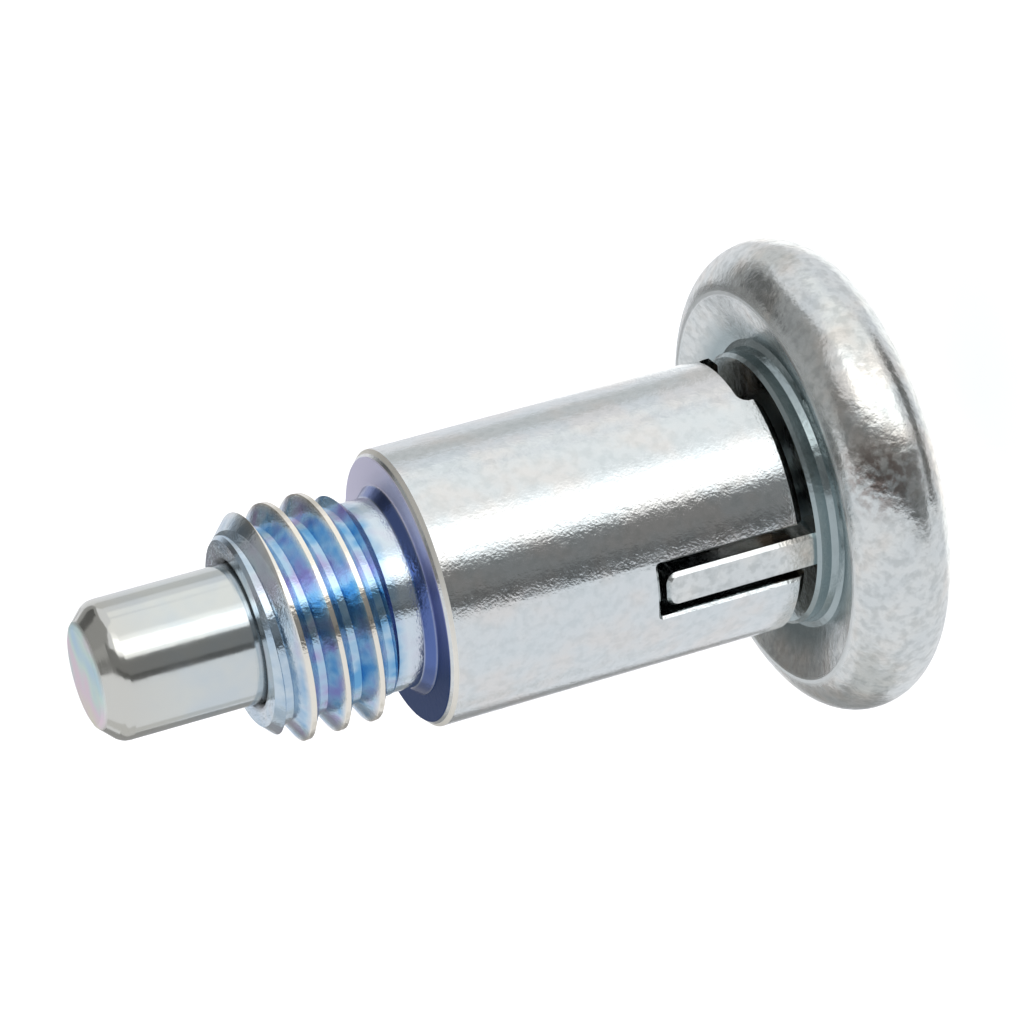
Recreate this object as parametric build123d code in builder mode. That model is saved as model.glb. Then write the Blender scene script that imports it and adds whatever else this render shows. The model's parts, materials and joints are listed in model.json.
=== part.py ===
from build123d import *
from math import ceil, cos, radians, sin, tan
import os

# An indexing plunger with a mushroom knob, in millimetres. +Z runs along the
# axis towards the tip of the pin. The origin is the centre of the seat, the
# annular face of the sleeve that bears on the mounting plate. A depth is
# measured back from the seat, towards the knob. The deep slots lie on X.

# Thread nose
thread_diameter = 10.0
thread_pitch = 1.5
thread_depth = 0.85
thread_crest = 0.2
flank_angle = 30.0
crest_height_at_x = 4.22
nose_length = 7.0
nose_chamfer = 1.0
mouth_chamfer = 0.2
relief_undercut = 0.05
relief_width = 1.55
relief_corner = 0.46

# Sleeve
sleeve_diameter = 12.0
sleeve_length = 16.2
seat_chamfer = 0.3
rear_chamfer = 0.4
guide_shoulder_depth = 1.0
spring_bore_diameter = 8.0

# Deep slots, which hold the keys, and shallow notches, where the keys park.
# Both are measured from the rear face.
slot_width = 2.5
slot_length = 6.78
slot_corner = 0.15
notch_width = 4.4
notch_height = 1.0
notch_corner = 0.5
edge_break = 0.12

# Locating pin
pin_diameter = 6.0
pin_running_gap = 0.03
pin_projection = 6.8
tip_chamfer = 0.85
tip_face_break = 0.12
tip_round = 0.8
collar_side_gap = 0.3
collar_thickness = 1.3
shank_diameter = 3.6
shank_end_chamfer = 0.3

# Guide bush, pressed into the rear of the sleeve
bush_length = 2.8
bush_recess = 0.6
bush_chamfer = 0.3
shank_running_gap = 0.05

# Compression spring with closed, ground ends
wire_diameter = 0.6
coil_side_gap = 0.7
end_turns = 1.0
active_turns = 4.5

# Knob: rim, dished underside and neck
knob_diameter = 20.8
rim_round = 2.3
rim_setback = 2.48
round_half_angle = 75.0
crest_land = 0.15
dish_angle = 19.0
neck_diameter = 12.0
neck_gap = 0.47
neck_chamfer = 0.15
neck_foot = 0.4
shank_cover = 1.4
shank_hole_extra = 0.3

# Keys, which stand forward from the neck
key_side_gap = 0.45
key_outer_recess = 0.3
key_bush_gap = 0.2
key_tip_gap = 0.45
key_tip_round = 0.5
key_edge_break = 0.15
key_root_overlap = 0.3
knob_turn = -3.0

# What follows from these sizes
thread_radius = thread_diameter / 2
root_radius = thread_radius - thread_depth
relief_radius = root_radius - relief_undercut
sleeve_radius = sleeve_diameter / 2
bore_radius = spring_bore_diameter / 2
sleeve_wall = sleeve_radius - bore_radius
slot_floor_depth = sleeve_length - slot_length
pin_radius = pin_diameter / 2
guide_radius = pin_radius + pin_running_gap
pin_reach = nose_length + pin_projection
collar_radius = bore_radius - collar_side_gap
collar_rear_depth = guide_shoulder_depth + collar_thickness
shank_radius = shank_diameter / 2
bush_rear_depth = sleeve_length - bush_recess
bush_front_depth = bush_rear_depth - bush_length
neck_radius = neck_diameter / 2
neck_front_depth = sleeve_length + neck_gap
rim_centre_radius = knob_diameter / 2 - rim_round
rim_centre_depth = neck_front_depth + rim_setback
crest_radius = rim_centre_radius + rim_round * cos(radians(round_half_angle))
crest_rise = rim_round * sin(radians(round_half_angle))
outer_face_depth = rim_centre_depth + crest_rise
shank_end_depth = outer_face_depth - shank_cover
cut_past = 0.2

# The body is one turned piece. The thread is cut first, in a bar that is longer
# than the nose at both ends. Its groove is a sixty degree vee with a flat floor.
groove_floor = thread_pitch - thread_crest - 2 * thread_depth * tan(radians(flank_angle))
groove_past = 0.15
groove_reach = thread_depth + groove_past
groove_half = groove_floor / 2
groove_mouth_half = groove_half + groove_reach * tan(radians(flank_angle))
turns_below_x = ceil(crest_height_at_x / thread_pitch) + 1.5
groove_start_z = crest_height_at_x - turns_below_x * thread_pitch
groove_turns = ceil((nose_length + groove_mouth_half - groove_start_z) / thread_pitch)
bar_past = 3 * thread_pitch

with BuildPart() as body:
    with BuildSketch(Plane.XY.offset(-bar_past)) as bar_section:
        Circle(thread_radius)
    extrude(amount=nose_length + 2 * bar_past)

    with BuildLine() as groove_path:
        Helix(
            pitch=thread_pitch,
            height=groove_turns * thread_pitch,
            radius=root_radius,
            center=(0, 0, groove_start_z),
        )
    groove_plane = Plane(
        origin=groove_path.line @ 0,
        x_dir=(1, 0, 0),
        z_dir=groove_path.line % 0,
    )
    with BuildSketch(groove_plane) as groove_section:
        Polygon(
            (0, -groove_half),
            (groove_reach, -groove_mouth_half),
            (groove_reach, groove_mouth_half),
            (0, groove_half),
            align=None,
        )
    sweep(is_frenet=True, mode=Mode.SUBTRACT)

    # The nose is turned from that bar: a relief between the thread and the seat
    # with a 45 degree run-out, and a lead-in chamfer at the end.
    run_out = thread_radius + cut_past - relief_radius
    with BuildSketch(Plane.XZ) as nose_profile:
        with BuildLine():
            Polyline(
                (0, 0),
                (relief_radius, 0),
                (relief_radius, relief_width),
                (relief_radius + run_out, relief_width + run_out),
                (relief_radius + run_out, nose_length - nose_chamfer - cut_past),
                (thread_radius - nose_chamfer, nose_length),
                (0, nose_length),
                close=True,
            )
        make_face()
    revolve(axis=Axis.Z, mode=Mode.INTERSECT)

    # Sleeve behind the seat, with a sloped corner where the relief meets the seat.
    with BuildSketch(Plane.XZ) as sleeve_profile:
        with BuildLine():
            Polyline(
                (0, relief_corner),
                (relief_radius, relief_corner),
                (relief_radius + relief_corner, 0),
                (sleeve_radius - seat_chamfer, 0),
                (sleeve_radius, -seat_chamfer),
                (sleeve_radius, -sleeve_length + rear_chamfer),
                (sleeve_radius - rear_chamfer, -sleeve_length),
                (0, -sleeve_length),
                close=True,
            )
        make_face()
    revolve(axis=Axis.Z)

    # Stepped bore: a close guide for the pin in the nose, then the spring bore.
    # The step between them is the stop that the pin's collar rests on.
    with BuildSketch(Plane.XZ) as bore_profile:
        with BuildLine():
            Polyline(
                (0, nose_length + cut_past),
                (guide_radius + mouth_chamfer + cut_past, nose_length + cut_past),
                (guide_radius, nose_length - mouth_chamfer),
                (guide_radius, -guide_shoulder_depth),
                (bore_radius, -guide_shoulder_depth),
                (bore_radius, -sleeve_length - cut_past),
                (0, -sleeve_length - cut_past),
                close=True,
            )
        make_face()
    revolve(axis=Axis.Z, mode=Mode.SUBTRACT)

    # Two deep slots through the sleeve wall, open at the rear.
    slot_cut = slot_length + cut_past
    with BuildSketch(Plane.YZ) as slot_outline:
        with Locations((0, -slot_floor_depth - slot_cut / 2)):
            Rectangle(slot_width, slot_cut)
        fillet(slot_outline.vertices().sort_by(Axis.Y)[-2:], slot_corner)
    extrude(amount=sleeve_diameter, both=True, mode=Mode.SUBTRACT)

    # Two shallow notches in the rear face, a quarter turn from the slots.
    notch_cut = notch_height + cut_past
    with BuildSketch(Plane.XZ) as notch_outline:
        with Locations((0, -sleeve_length + notch_height - notch_cut / 2)):
            Rectangle(notch_width, notch_cut)
        fillet(notch_outline.vertices().sort_by(Axis.Y)[-2:], notch_corner)
    extrude(amount=sleeve_diameter, both=True, mode=Mode.SUBTRACT)

    # The outer edges of the deep slots are broken.
    slot_zone = body.edges().filter_by_position(
        Axis.Z,
        -sleeve_length + rear_chamfer,
        -slot_floor_depth + 0.01,
    )
    slot_edges = slot_zone.filter_by(lambda edge: abs(edge.center().X) > sleeve_radius - sleeve_wall / 4)
    chamfer(slot_edges, edge_break)

# Locating pin: tip, guide length, collar and shank are one turned piece.
with BuildPart() as locating_pin:
    with BuildSketch(Plane.XZ) as pin_profile:
        with BuildLine():
            Polyline(
                (0, pin_reach),
                (pin_radius - tip_chamfer, pin_reach),
                (pin_radius, pin_reach - tip_chamfer),
                (pin_radius, -guide_shoulder_depth),
                (collar_radius, -guide_shoulder_depth),
                (collar_radius, -collar_rear_depth),
                (shank_radius, -collar_rear_depth),
                (shank_radius, -shank_end_depth + shank_end_chamfer),
                (shank_radius - shank_end_chamfer, -shank_end_depth),
                (0, -shank_end_depth),
                close=True,
            )
        make_face()
        face_corner = pin_profile.vertices().sort_by_distance((pin_radius - tip_chamfer, pin_reach))[0]
        chamfer(face_corner, tip_face_break)
        side_corner = pin_profile.vertices().sort_by_distance((pin_radius, pin_reach - tip_chamfer))[0]
        fillet(side_corner, tip_round)
    revolve(axis=Axis.Z)

# Guide bush: closes the spring bore, guides the shank and backs the spring.
with BuildPart() as guide_bush:
    with BuildSketch(Plane.XZ) as bush_profile:
        with BuildLine():
            Polyline(
                (shank_radius + shank_running_gap, -bush_front_depth),
                (bore_radius - bush_chamfer, -bush_front_depth),
                (bore_radius, -bush_front_depth - bush_chamfer),
                (bore_radius, -bush_rear_depth),
                (shank_radius + shank_running_gap, -bush_rear_depth),
                close=True,
            )
        make_face()
    revolve(axis=Axis.Z)

# Spring between the collar and the bush. Its end turns lie closed and are
# ground flat. The wire is round in use and six-sided here.
spring_length = bush_front_depth - collar_rear_depth
coil_radius = bore_radius - coil_side_gap - wire_diameter / 2
end_height = end_turns * wire_diameter
active_height = spring_length - 2 * end_height
active_end_angle = 360 * (active_turns % 1)
grind_depth = 1.0
with BuildPart() as spring:
    with BuildLine() as coil_path:
        Helix(
            pitch=wire_diameter,
            height=end_height,
            radius=coil_radius,
            center=(0, 0, -bush_front_depth),
        )
        Helix(
            pitch=active_height / active_turns,
            height=active_height,
            radius=coil_radius,
            center=(0, 0, -bush_front_depth + end_height),
        )
        front_turns = Helix(
            pitch=wire_diameter,
            height=end_height,
            radius=coil_radius,
            center=(0, 0, -collar_rear_depth - end_height),
            mode=Mode.PRIVATE,
        )
        add(front_turns.rotate(Axis.Z, active_end_angle))
    wire_plane = Plane(
        origin=coil_path.line @ 0,
        x_dir=(1, 0, 0),
        z_dir=coil_path.line % 0,
    )
    with BuildSketch(wire_plane) as wire_section:
        RegularPolygon(wire_diameter / 2, 6, rotation=30)
    sweep(path=coil_path.line, is_frenet=True, transition=Transition.TRANSFORMED)
    with BuildSketch(Plane.XY.offset(-bush_front_depth - grind_depth)) as rear_grind:
        Circle(bore_radius)
    extrude(amount=grind_depth, mode=Mode.SUBTRACT)
    with BuildSketch(Plane.XY.offset(-collar_rear_depth)) as front_grind:
        Circle(bore_radius)
    extrude(amount=grind_depth, mode=Mode.SUBTRACT)

# Knob: rim, neck and two keys in one piece. The rim's round is cut off by the
# flat outer face on one side and by a narrow land, the crest, on the other. The
# underside is dished, from the crest down to the foot of the neck.
crest_depth = rim_centre_depth - crest_rise
dish_radius = crest_radius - crest_land
foot_radius = neck_radius + neck_foot
foot_depth = crest_depth + (dish_radius - foot_radius) * tan(radians(dish_angle))
foot_middle = neck_foot * (1 - cos(radians(45)))
with BuildPart() as knob:
    with BuildSketch(Plane.XZ) as knob_profile:
        with BuildLine():
            Polyline(
                (0, -outer_face_depth),
                (0, -neck_front_depth),
                (neck_radius - neck_chamfer, -neck_front_depth),
                (neck_radius, -neck_front_depth - neck_chamfer),
                (neck_radius, -foot_depth + neck_foot),
                (neck_radius + foot_middle, -foot_depth + foot_middle),
                (foot_radius, -foot_depth),
                (dish_radius, -crest_depth),
                (crest_radius, -crest_depth),
            )
            ThreePointArc(
                (crest_radius, -crest_depth),
                (rim_centre_radius + rim_round, -rim_centre_depth),
                (crest_radius, -outer_face_depth),
            )
            Line((crest_radius, -outer_face_depth), (0, -outer_face_depth))
        make_face()
    revolve(axis=Axis.Z)

    # Keys: two fingers that stand forward from the neck into the deep slots.
    key_root_depth = neck_front_depth + key_root_overlap
    key_tip_depth = slot_floor_depth + key_tip_gap
    key_outer_radius = sleeve_radius - key_outer_recess
    with BuildSketch(Plane.XY.offset(-key_root_depth)) as key_section:
        Circle(key_outer_radius)
        Circle(bore_radius + key_bush_gap, mode=Mode.SUBTRACT)
        Rectangle(
            sleeve_diameter,
            slot_width - 2 * key_side_gap,
            rotation=knob_turn,
            mode=Mode.INTERSECT,
        )
    extrude(amount=key_root_depth - key_tip_depth)
    tip_edges = knob.edges().filter_by_position(Axis.Z, -key_tip_depth - 0.01, -key_tip_depth + 0.01)
    radial_edges = tip_edges.filter_by(GeomType.LINE)
    fillet(radial_edges, key_tip_round)
    long_edges = knob.edges().filter_by(Axis.Z).filter_by(
        lambda edge: (edge.center().X ** 2 + edge.center().Y ** 2) ** 0.5 > key_outer_radius - 0.1
    )
    chamfer(long_edges, key_edge_break)

    # Blind hole that takes the pin's shank as a press fit.
    hole_end_depth = shank_end_depth + shank_hole_extra
    with BuildSketch(Plane.XY.offset(-hole_end_depth)) as shank_hole:
        Circle(shank_radius)
    extrude(amount=hole_end_depth - neck_front_depth, mode=Mode.SUBTRACT)

body.part.label = "body"
locating_pin.part.label = "locating_pin"
spring.part.label = "spring"
guide_bush.part.label = "guide_bush"
knob.part.label = "knob"

os.makedirs("parts", exist_ok=True)
export_step(body.part, "parts/body.step")
export_step(locating_pin.part, "parts/locating_pin.step")
export_step(spring.part, "parts/spring.step")
export_step(guide_bush.part, "parts/guide_bush.step")
export_step(knob.part, "parts/knob.step")
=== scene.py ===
# %% [markdown]
# # An indexing plunger, dressed from its CAD frame
# The plunger is screwed into a plate. Its pin locks a moving part in place, and
# the knob pulls the pin back against a spring. The solids come from the CAD
# frame and already have their true form, so this lesson is about light and
# finish: how ground and plated steel gets its look from what it mirrors.

# %% Load the frame
import json
import math

import bpy
from mathutils import Matrix, Vector


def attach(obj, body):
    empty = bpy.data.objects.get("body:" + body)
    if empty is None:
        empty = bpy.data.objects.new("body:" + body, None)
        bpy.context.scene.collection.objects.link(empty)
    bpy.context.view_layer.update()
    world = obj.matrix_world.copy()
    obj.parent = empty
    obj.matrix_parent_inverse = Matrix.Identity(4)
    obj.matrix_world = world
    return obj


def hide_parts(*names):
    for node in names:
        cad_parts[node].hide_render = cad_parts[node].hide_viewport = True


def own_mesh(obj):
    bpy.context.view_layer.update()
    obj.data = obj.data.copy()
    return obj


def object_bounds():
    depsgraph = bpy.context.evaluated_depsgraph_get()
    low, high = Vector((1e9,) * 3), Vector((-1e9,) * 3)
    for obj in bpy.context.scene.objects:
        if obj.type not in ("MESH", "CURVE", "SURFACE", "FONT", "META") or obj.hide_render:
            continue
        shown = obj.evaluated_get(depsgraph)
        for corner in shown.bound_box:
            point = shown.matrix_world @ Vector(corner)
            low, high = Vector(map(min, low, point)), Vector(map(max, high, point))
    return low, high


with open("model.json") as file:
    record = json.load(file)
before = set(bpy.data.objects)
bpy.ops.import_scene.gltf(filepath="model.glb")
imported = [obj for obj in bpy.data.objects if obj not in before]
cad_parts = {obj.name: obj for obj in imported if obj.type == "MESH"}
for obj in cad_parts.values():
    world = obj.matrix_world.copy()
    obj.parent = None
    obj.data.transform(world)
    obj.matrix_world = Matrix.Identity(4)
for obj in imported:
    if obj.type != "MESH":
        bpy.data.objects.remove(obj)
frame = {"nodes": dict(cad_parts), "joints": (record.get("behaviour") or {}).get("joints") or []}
box_of_the_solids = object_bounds()
print("nodes:", ", ".join(sorted(frame["nodes"])))

# %% [markdown]
# ## Camera
# The photograph looks at the plunger slightly from the pin's end, and its axis
# lies almost level in the picture. Here the part stands on its knob, so the
# camera is rolled instead. The three directions below are the picture's right,
# its up and the way the lens looks, all in the part's own frame.

# %% Place the camera
picture_right = Vector((0.39093, -0.07953, -0.91698)).normalized()
looks_along = Vector((-0.82107, -0.48036, -0.30838)).normalized()
picture_up = picture_right.cross(looks_along).normalized()
picture_right = looks_along.cross(picture_up).normalized()
camera_place = Vector((0.15888, 0.09509, 0.05423))

sensor_mm, focal_length_mm = 36.0, 162.5
camera_data = bpy.data.cameras.new("product_camera")
camera_data.sensor_width = sensor_mm
camera_data.lens = focal_length_mm
camera_data.clip_start = 0.01
camera = bpy.data.objects.new("product_camera", camera_data)
turn = Matrix((picture_right, picture_up, -looks_along)).transposed()
camera.matrix_world = Matrix.Translation(camera_place) @ turn.to_4x4()
bpy.context.collection.objects.link(camera)
bpy.context.scene.camera = camera
print("camera looks down by", round(math.degrees(math.asin(-looks_along.z)), 1), "degrees")

# %% [markdown]
# ## Colours and nodes
# Colours are written as sRGB hex values, as a painter picks them, and turned to
# the linear values that light adds up in. One small function adds a node with
# its settings and links, and a second one starts a material. Sizes are in
# metres, as in the frame, and are written as millimetres times mm.

# %% Colours, nodes and materials
mm = 0.001


def linear(hex_colour):
    """An sRGB hex value as linear red, green, blue and alpha."""
    parts = [int(hex_colour[i : i + 2], 16) / 255 for i in (0, 2, 4)]
    return [p / 12.92 if p <= 0.04045 else ((p + 0.055) / 1.055) ** 2.4 for p in parts] + [1.0]


def add(tree, kind, settings=None, stops=(), **feeds):
    """A node of this kind with its settings, a colour ramp's stops, and what feeds its inputs.

    A feed's name has _ for a space, and a feed by number is written _0, _1 and so on.
    """
    node = tree.nodes.new(kind)
    for name, value in (settings or {}).items():
        setattr(node, name, value)
    for number, (place, colour) in enumerate(stops):
        elements = node.color_ramp.elements
        stop = elements[number] if number < len(elements) else elements.new(place)
        stop.position = place
        stop.color = linear(colour)
    for name, value in feeds.items():
        by_number = name[1:].isdigit()
        socket = node.inputs[int(name[1:]) if by_number else name.replace("_", " ")]
        if isinstance(value, bpy.types.NodeSocket):
            tree.links.new(value, socket)
        else:
            socket.default_value = value
    return node


def finish_named(name, **feeds):
    """A new material, its node tree and its shader, which has these feeds."""
    material = bpy.data.materials.new(name)
    material.use_nodes = True
    tree = material.node_tree
    tree.nodes.clear()
    shader = add(tree, "ShaderNodeBsdfPrincipled", **feeds)
    add(tree, "ShaderNodeOutputMaterial", Surface=shader.outputs[0])
    return material, tree, shader


print("the hex grey 808080 is", round(linear("808080")[0], 3), "in linear light")

# %% [markdown]
# ## Studio
# Bright steel shows the room more than its own colour, so the room is set out
# first. The surround is an even pale tent. A broad soft box above the lens draws
# the white stripe along each cylinder, and the dark gap round the lens draws the
# dark stripe just below it. Grey cards to the left and behind, and a dark strip
# and a window to the right, give the round knob its broken bands.
#
# Each card is a piece of a sphere round the part, placed by how far it lies to
# the right of the lens and above it, in degrees, as the part sees it. The floor
# is a lit white sheet, as on a light table. A pull takes the knob down by its
# whole travel, so the sheet lies just below that and no pose sinks into it. The
# steel would mirror the sheet and nothing else, so the sheet is left out of
# mirror images, and the cards below it stay in them.

# %% Floor and surround
world = bpy.data.worlds.new("white_tent")
bpy.context.scene.world = world
world.use_nodes = True
tent = world.node_tree.nodes["Background"].inputs
tent["Color"].default_value = linear("FAFBFF")
tent["Strength"].default_value = 0.90

bpy.ops.object.select_all(action="DESELECT")
clearance = 0.2 * mm
pull_travel = max(frame["joints"][0]["range_m"])
floor_height = box_of_the_solids[0][2] - pull_travel - clearance
bpy.ops.mesh.primitive_plane_add(size=4.0, location=(0, 0, floor_height))
floor = bpy.context.object
floor.name = "floor"
floor_finish, _, _ = finish_named(
    "lit_white_sheet",
    Base_Color=linear("FFFFFF"),
    Roughness=0.9,
    Emission_Color=linear("FFFFFF"),
    Emission_Strength=0.62,
)
floor.data.materials.append(floor_finish)
floor.visible_glossy = False
print("the floor lies", round(-floor_height / mm, 1), "mm below the seat")


# %% Cards round the part
def direction(side, height):
    """The way that lies this far to the right of the lens and above it, in degrees."""
    a, b = math.radians(side), math.radians(height)
    level = -looks_along * math.cos(a) + picture_right * math.sin(a)
    return level * math.cos(b) + picture_up * math.sin(b)


def card(name, side, height, wide, tall, light, distance=0.5):
    """A glowing card that fills wide by tall degrees, as the part sees it from distance metres."""
    bpy.ops.object.select_all(action="DESELECT")
    across, up = int(wide / 4), int(tall / 4) + 1
    bpy.ops.mesh.primitive_grid_add(x_subdivisions=across, y_subdivisions=up, size=1.0)
    sheet = bpy.context.object
    sheet.name = name
    for vertex in sheet.data.vertices:
        vertex.co = direction(side + wide * vertex.co.x, height + tall * vertex.co.y) * distance
    paper, _, _ = finish_named(
        name,
        Base_Color=linear("000000"),
        Specular_IOR_Level=0.0,
        Emission_Color=linear("FFFFFF"),
        Emission_Strength=light,
    )
    sheet.data.materials.append(paper)
    sheet.visible_camera = False
    print("card", name)


# Each has its side and height, how wide and how tall it is, all in degrees, and its brightness.
card("soft_box_spill", 28, 76, 133, 56, 1.06)
card("soft_box", 25, 35, 94, 36, 1.30, distance=0.49)
card("core_of_the_soft_box", 25, 34, 84, 22, 1.90, distance=0.48)
card("gap_round_the_lens", 10, 0, 144, 34, 0.23, distance=0.48)
card("dark_edge_of_the_gap", 14, -13, 97, 10, 0.12, distance=0.47)
card("gap_to_the_left", -136, 1, 36, 20, 0.22)
card("paler_gap_to_the_left", -90, 1, 56, 20, 0.42)
card("grey_card_left", -94, 30, 92, 40, 0.36)
card("dark_core_of_the_left_card", -115, 27, 24, 30, 0.13, distance=0.49)
card("dark_strip_right", 99, 24, 22, 48, 0.15)
card("window_right", 156, 16, 50, 41, 1.3)
card("dark_card_behind", 188, -30, 44, 30, 0.35)
card("grey_card_high_behind", -158, 52, 48, 22, 0.66)
card("grey_card_low_behind", -165, -58, 90, 26, 0.66)

# %% [markdown]
# The Standard view shows a hex colour as it is written and a lit white sheet as
# white. A view made to look like film would grey the bright metal.

# %% Look
bpy.context.scene.view_settings.view_transform = "Standard"
print("view transform:", bpy.context.scene.view_settings.view_transform)

# %% [markdown]
# ## What the finishes share
# A finish is a colour, a roughness and a normal, and each of them varies over
# the piece. Noise of a known size mottles and dents it. Every piece here is
# round, so the places where it wears or stains, and where shade or highlights are
# painted into its colour, are zones of radius and height, and layers of colour or
# roughness are laid over the first one in those zones.


# %% Places, mottling and dents
def places(tree):
    """A point on the piece, its distance from the axis and its height over the seat, in metres."""
    point = add(tree, "ShaderNodeTexCoord").outputs["Object"]
    flat = add(tree, "ShaderNodeVectorMath", {"operation": "MULTIPLY"}, _0=point, _1=(1, 1, 0))
    radius = add(tree, "ShaderNodeVectorMath", {"operation": "LENGTH"}, _0=flat.outputs[0])
    height = add(tree, "ShaderNodeSeparateXYZ", Vector=point)
    return point, radius.outputs["Value"], height.outputs["Z"]


def mottled(tree, point, size_mm, *stops, detail=2.0):
    """A colour that wanders through the stops in blotches about size_mm across."""
    noise = add(tree, "ShaderNodeTexNoise", Vector=point, Scale=1.0 / (size_mm * mm), Detail=detail)
    return add(tree, "ShaderNodeValToRGB", stops=stops, Fac=noise.outputs[0]).outputs["Color"]


def patchy(tree, point, size_mm, start, end, detail=2.0):
    """A value that wanders from start to end in patches about size_mm across."""
    noise = add(tree, "ShaderNodeTexNoise", Vector=point, Scale=1.0 / (size_mm * mm), Detail=detail)
    most_of_it = {"From_Min": 0.35, "From_Max": 0.65}
    ends = {"To_Min": start, "To_Max": end}
    return add(tree, "ShaderNodeMapRange", Value=noise.outputs[0], **most_of_it, **ends).outputs["Result"]


def dented(tree, point, size_mm, depth_mm, below=None, detail=2.0):
    """A normal with dents about size_mm across and depth_mm deep, on top of the normal below."""
    noise = add(tree, "ShaderNodeTexNoise", Vector=point, Scale=1.0 / (size_mm * mm), Detail=detail)
    feeds = {"Height": noise.outputs[0], "Distance": depth_mm * mm, "Strength": 1.0}
    if below is not None:
        feeds["Normal"] = below
    return add(tree, "ShaderNodeBump", **feeds).outputs["Normal"]


# %% Zones and layers
def zone(tree, *limits, strength=1.0):
    """A mask that is strength inside all the limits and 0 outside them.

    A limit is a value, where along it the zone ends and where the zone is full.
    """
    mask, full = None, strength
    for value, ends_at, full_at in limits:
        low, high = sorted((ends_at, full_at))
        start, end = (0.0, full) if ends_at < full_at else (full, 0.0)
        ends = {"From_Min": low, "From_Max": high, "To_Min": start, "To_Max": end}
        inside = add(tree, "ShaderNodeMapRange", Value=value, **ends).outputs["Result"]
        if mask is None:
            mask, full = inside, 1.0
        else:
            product = {"operation": "MULTIPLY"}
            mask = add(tree, "ShaderNodeMath", product, _0=mask, _1=inside).outputs[0]
    return mask


def layered(tree, colour, *layers):
    """A colour with layers laid over it in turn: each is a mask and a hex colour or a socket."""
    for mask, laid in layers:
        laid = linear(laid) if isinstance(laid, str) else laid
        mix = add(tree, "ShaderNodeMix", {"data_type": "RGBA"}, _0=mask, _6=colour, _7=laid)
        colour = mix.outputs[2]
    return colour


def worn(tree, roughness, *layers):
    """A roughness with others laid over it in turn: each is a mask and a roughness."""
    for mask, laid in layers:
        ends = {"From_Min": 0.0, "From_Max": 1.0, "To_Min": roughness, "To_Max": laid}
        roughness = add(tree, "ShaderNodeMapRange", Value=mask, **ends).outputs["Result"]
    return roughness


# %% [markdown]
# ## Zinc plate
# The body and the knob are tumbled steel with bright zinc plate and a thin blue
# passivate. Tumbling leaves shallow dents and a fine grain, which break up the
# edges of every mirrored card. The real grain is finer than the picture can
# hold, so it is drawn as coarse as it needs to show. The passivate is so thin
# that its tint drifts from a cool to a warm grey within a few millimetres, with
# faint clouds in it.


# %% Zinc plate
def zinc_plate(name, tints, cloud, dents, grain, smooth, rough):
    """Plated steel with drifting tints, faint clouds, and rough spots among smooth ones.

    Dents and grain each have a size and a depth in millimetres.
    """
    material, tree, shader = finish_named(name, Metallic=1.0)
    point, radius, height = places(tree)
    drift_mm, cloud_mm, spot_mm = 2.2, 0.4, 0.5
    cool, middle, warm = tints
    tint = mottled(tree, point, drift_mm, (0.36, cool), (0.5, middle), (0.64, warm), detail=3.0)
    clouds = mottled(tree, point, cloud_mm, (0.36, cloud), (0.56, "FFFFFF"), detail=5.0)
    product = {"data_type": "RGBA", "blend_type": "MULTIPLY"}
    plate = add(tree, "ShaderNodeMix", product, _0=1.0, _6=tint, _7=clouds).outputs[2]
    spots = patchy(tree, point, spot_mm, smooth, rough, detail=3.0)
    normal = dented(tree, point, *grain, below=dented(tree, point, *dents))
    tree.links.new(normal, shader.inputs["Normal"])
    return material, tree, shader, (point, radius, height, plate, spots)


# %% [markdown]
# The knob is the rougher of the two. The foot of its neck, deep in the corner, is
# painted darker as shade. Handling rubs the crest of the rim pale and has left one
# brownish stain, which the photograph shows below the highlight.

# %% Zinc plate on the knob
knob_finish, tree, shader, (point, radius, height, plate, spots) = zinc_plate(
    "zinc_plate_on_a_tumbled_knob",
    ("D8DDDD", "DFE2E0", "E2DFD9"),
    cloud="E9EAEA",
    dents=(0.45, 0.016),
    grain=(0.15, 0.009),
    smooth=0.16,
    rough=0.27,
)
neck_front = -16.62 * mm
under_the_neck_front = (height, neck_front + 0.1 * mm, neck_front)
# Painted shade: the foot of the neck, in the corner under the rim, is painted darker.
painted_shade_in_the_corner = zone(tree, (radius, 7.8 * mm, 6.8 * mm), under_the_neck_front)
crest = zone(tree, (radius, 8.42 * mm, 8.58 * mm), (radius, 8.9 * mm, 8.66 * mm))

stain_place, stain_core, stain_reach = (9.1 * mm, 4.5 * mm, -18.2 * mm), 0.6 * mm, 2.1 * mm
away = add(tree, "ShaderNodeVectorMath", {"operation": "DISTANCE"}, _0=point, _1=stain_place)
patch_mm = 0.35
patches = add(tree, "ShaderNodeTexNoise", Vector=point, Scale=1.0 / (patch_mm * mm), Detail=3.0)
near_it = (away.outputs["Value"], stain_reach, stain_core)
stain = zone(tree, near_it, (patches.outputs[0], 0.42, 0.6), strength=0.8)

colour = layered(tree, plate, (stain, "86746B"), (painted_shade_in_the_corner, "A3B0B2"), (crest, "DFE3E2"))
tree.links.new(colour, shader.inputs["Base Color"])
tree.links.new(worn(tree, spots, (crest, 0.4)), shader.inputs["Roughness"])
print(knob_finish.name, "has", len(tree.nodes), "nodes")
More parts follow.
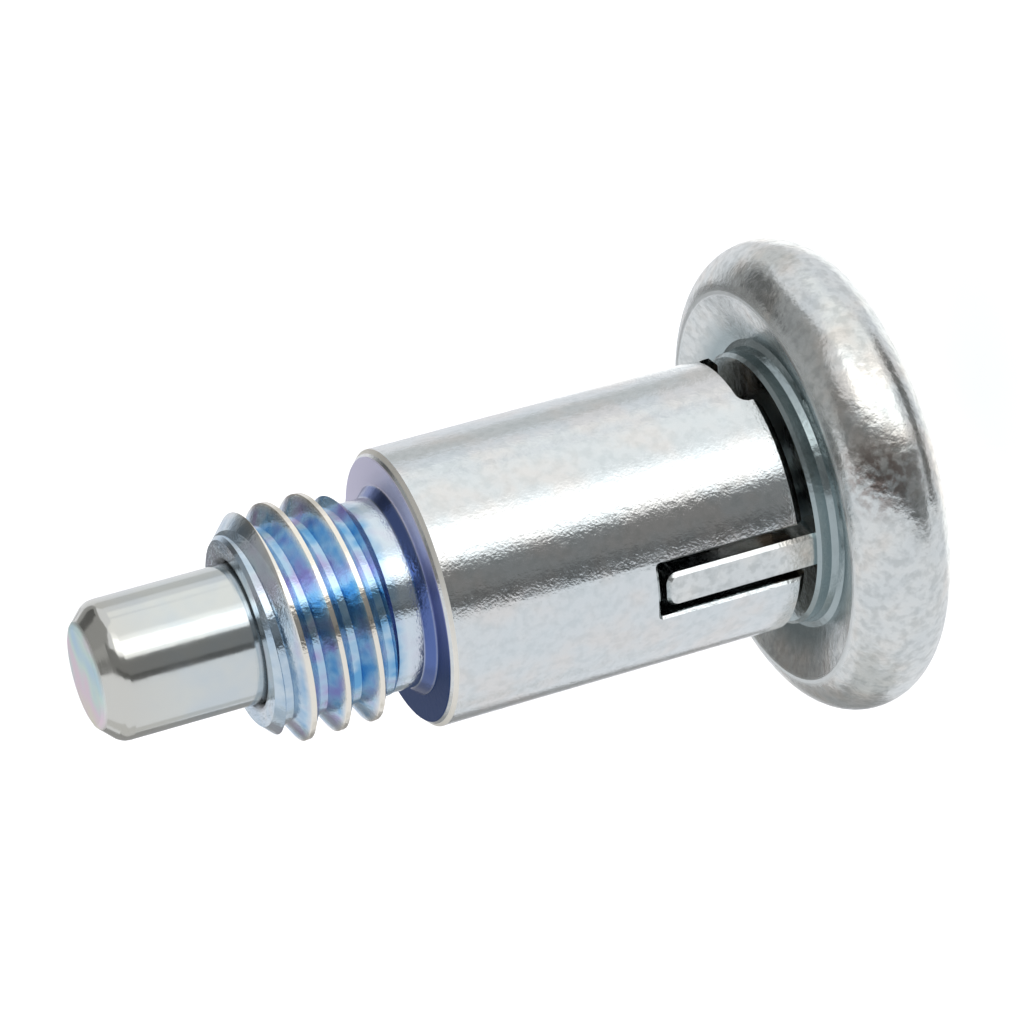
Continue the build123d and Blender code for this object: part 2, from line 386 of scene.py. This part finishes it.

# %% [markdown]
# On the body the tint also follows the form. The plating bath leaves the thread's
# grooves and the seat with a stronger blue to violet film, paler in the relief
# behind the thread. The crests are painted a creamy white, rubbed plate with a
# painted highlight along them, and the bevel round the seat is a painted highlight
# in creamy white. The seat's film is painted from dark blue to pale lilac across
# its width, painted shade below and painted light above, in the direction that is
# up in the picture. Like every zone it is set in the part's own frame, so it stays
# where it is on the piece when the view turns. The corner between the relief and
# the seat, a ring round the pin and the inside of the rear are painted darker as shade.

# %% Zinc plate on the body and its nose
body_finish, tree, shader, (point, radius, height, plate, spots) = zinc_plate(
    "zinc_plate_on_the_body",
    ("D9E0E2", "DCE1E2", "E0E0DE"),
    cloud="F5F6F6",
    dents=(0.36, 0.010),
    grain=(0.11, 0.008),
    smooth=0.12,
    rough=0.18,
)
film_mm, crest_radius, root_radius = 1.4, 5.0 * mm, 4.7 * mm
film = mottled(tree, point, film_mm, (0.36, "6CA9D6"), (0.5, "AECCE2"), (0.68, "ADA9D2"))
# The crests are painted creamy white: rubbed plate, with a painted highlight along each crest.
rubbed_crest_and_painted_highlight = zone(tree, (radius, crest_radius - 0.1 * mm, crest_radius))
groove = zone(tree, (radius, crest_radius - 0.05 * mm, root_radius))
near_the_tip = zone(tree, (height, 5.7 * mm, 6.2 * mm), strength=0.6)
in_the_relief = zone(tree, (height, 1.6 * mm, 1.1 * mm), strength=0.75)
# Painted shade: the corner between the relief and the seat is painted dark blue.
painted_shade_in_the_corner = zone(tree, (height, 0.5 * mm, 0.4 * mm), (radius, 4.7 * mm, 4.6 * mm))
# Painted shadow: a dark ring on the nose face round the pin.
painted_shadow_round_the_pin = zone(tree, (radius, 3.4 * mm, 3.1 * mm))
nose = layered(
    tree,
    plate,
    (rubbed_crest_and_painted_highlight, "F0EBDF"),
    (groove, film),
    (near_the_tip, plate),
    (in_the_relief, "DEE6EA"),
    (painted_shade_in_the_corner, "5C70A8"),
    (painted_shadow_round_the_pin, "3C4247"),
)
print("the crests lie at", round(crest_radius / mm, 1), "mm and the roots at", round(root_radius / mm, 1))

# %% The body's seat, bevel and rear
seat_radius = 6.0 * mm
# Painted shade and light: the seat's film is painted dark blue towards the picture's bottom and pale
# lilac towards its top.
across = add(tree, "ShaderNodeVectorMath", {"operation": "DOT_PRODUCT"}, _0=point, _1=picture_up)
painted_light_upwards = zone(tree, (across.outputs["Value"], -seat_radius, seat_radius))
seat_film_and_painted_shade_tints = ((0.2, "0F376C"), (0.5, "7F88C2"), (0.74, "EEEBFF"))
seat_film_and_painted_shade = add(tree, "ShaderNodeValToRGB", stops=seat_film_and_painted_shade_tints, Fac=painted_light_upwards).outputs["Color"]
on_the_nose = zone(tree, (height, -0.1 * mm, 0.1 * mm))
# Painted shade: the notch and the rear of the bore are painted a dark brownish grey.
painted_shade_at_the_rear = zone(tree, (height, -14.7 * mm, -14.9 * mm), (radius, 5.8 * mm, 5.7 * mm))
on_the_seat = zone(tree, (height, -0.05 * mm, -0.02 * mm), (height, 0.05 * mm, 0.02 * mm))
# Painted highlight: the bevel round the seat is painted a creamy white, and it is rougher.
painted_highlight_on_the_bevel = zone(tree, (height, -0.31 * mm, -0.29 * mm), (radius, 5.82 * mm, 5.85 * mm))

colour = layered(
    tree,
    plate,
    (on_the_nose, nose),
    (painted_shade_at_the_rear, "9C8C7E"),
    (on_the_seat, seat_film_and_painted_shade),
    (painted_highlight_on_the_bevel, "F2EFE6"),
)
tree.links.new(colour, shader.inputs["Base Color"])
roughness = worn(tree, spots, (on_the_seat, 0.5), (painted_highlight_on_the_bevel, 0.5))
tree.links.new(roughness, shader.inputs["Roughness"])
print(body_finish.name, "has", len(tree.nodes), "nodes")

# %% [markdown]
# ## Ground and turned steel
# The pin is ground, so its satin lines run round it, too fine to see one by one.
# Its tip was hardened, which leaves a warm tint near the end and a pale
# rainbow on the flat face.


# %% Ground pin
def lined(tree, distance, line_mm, depth_mm):
    """A normal with lines about line_mm apart and depth_mm deep, one after another along distance."""
    one_way = {"noise_dimensions": "1D"}
    noise = add(tree, "ShaderNodeTexNoise", one_way, W=distance, Scale=1.0 / (line_mm * mm), Detail=1.0)
    feeds = {"Height": noise.outputs[0], "Distance": depth_mm * mm, "Strength": 1.0}
    return add(tree, "ShaderNodeBump", **feeds).outputs["Normal"]


pin_finish, tree, shader = finish_named("ground_and_hardened_steel", Metallic=1.0)
point, _, height = places(tree)
tip_height = box_of_the_solids[1][2]
near_the_end = zone(tree, (height, tip_height - 3.5 * mm, tip_height - 0.9 * mm))
on_the_face = zone(tree, (height, tip_height - 0.2 * mm, tip_height - 0.05 * mm))
steel = mottled(tree, point, 2.0, (0.38, "CCD4D7"), (0.62, "D4D8D5"))
rainbow = ((0.3, "D8EEFC"), (0.45, "EAF8F4"), (0.58, "F9EDF5"), (0.7, "F7F4EA"))
face = mottled(tree, point, 2.8, *rainbow, detail=1.0)
colour = layered(tree, steel, (near_the_end, "D3D3CD"), (on_the_face, face))
tree.links.new(colour, shader.inputs["Base Color"])

satin = patchy(tree, point, 0.7, 0.11, 0.16)
tree.links.new(worn(tree, satin, (on_the_face, 0.85)), shader.inputs["Roughness"])
line_mm, line_depth_mm, wave_mm, wave_depth_mm = 0.09, 0.0012, 0.9, 0.005
ground = lined(tree, height, line_mm, line_depth_mm)
wavy = dented(tree, point, wave_mm, wave_depth_mm, below=ground, detail=1.0)
tree.links.new(wavy, shader.inputs["Normal"])
print(pin_finish.name, "has", len(tree.nodes), "nodes")

# %% [markdown]
# The spring's drawn wire is dull and a little streaky. The bush was turned on a
# lathe, which leaves fine rings on its faces.

# %% Drawn wire and the turned bush
wire_finish, tree, shader = finish_named("drawn_spring_wire", Metallic=1.0)
point, _, _ = places(tree)
drawn = mottled(tree, point, 0.8, (0.4, "85878B"), (0.6, "9A9893"))
tree.links.new(drawn, shader.inputs["Base Color"])
tree.links.new(patchy(tree, point, 0.3, 0.24, 0.36), shader.inputs["Roughness"])

bush_finish, tree, shader = finish_named("turned_steel", Metallic=1.0, Roughness=0.28)
point, radius, _ = places(tree)
turned = mottled(tree, point, 1.5, (0.4, "97999C"), (0.6, "A8A6A1"))
tree.links.new(turned, shader.inputs["Base Color"])
ring_mm, ring_depth_mm = 0.12, 0.003
rings = lined(tree, radius, ring_mm, ring_depth_mm)
tree.links.new(rings, shader.inputs["Normal"])
print("made", wire_finish.name, "and", bush_finish.name)

# %% [markdown]
# ## Spring
# A pull closes the spring up between the collar and the bush. A CAD node keeps
# its shape, so a copy of this one stands for it. The copy's loose triangles are
# merged into one skin and shaded smooth, the copy rides with the housing, and the
# CAD node is hidden.

# %% The spring's copy, merged and smooth
bpy.ops.object.select_all(action="DESELECT")
coil = bpy.data.objects.new("closing_spring", frame["nodes"]["spring"].data.copy())
bpy.context.collection.objects.link(coil)
coil.select_set(True)
bpy.context.view_layer.objects.active = coil
bpy.ops.object.mode_set(mode="EDIT")
bpy.ops.mesh.select_all(action="SELECT")
bpy.ops.mesh.remove_doubles(threshold=0.001 * mm)
bpy.ops.mesh.customdata_custom_splitnormals_clear()
bpy.ops.object.mode_set(mode="OBJECT")
bpy.ops.object.shade_smooth_by_angle(angle=math.radians(35))

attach(coil, "housing")
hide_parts("spring")
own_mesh(coil)

# %% Dress the pieces
finishes = {
    "body": body_finish,
    "locating_pin": pin_finish,
    "spring": wire_finish,
    "guide_bush": bush_finish,
    "knob": knob_finish,
}
for name, piece in list(frame["nodes"].items()) + [("spring", coil)]:
    piece.data.materials.clear()
    piece.data.materials.append(finishes[name])
    print(piece.name, "wears", finishes[name].name)
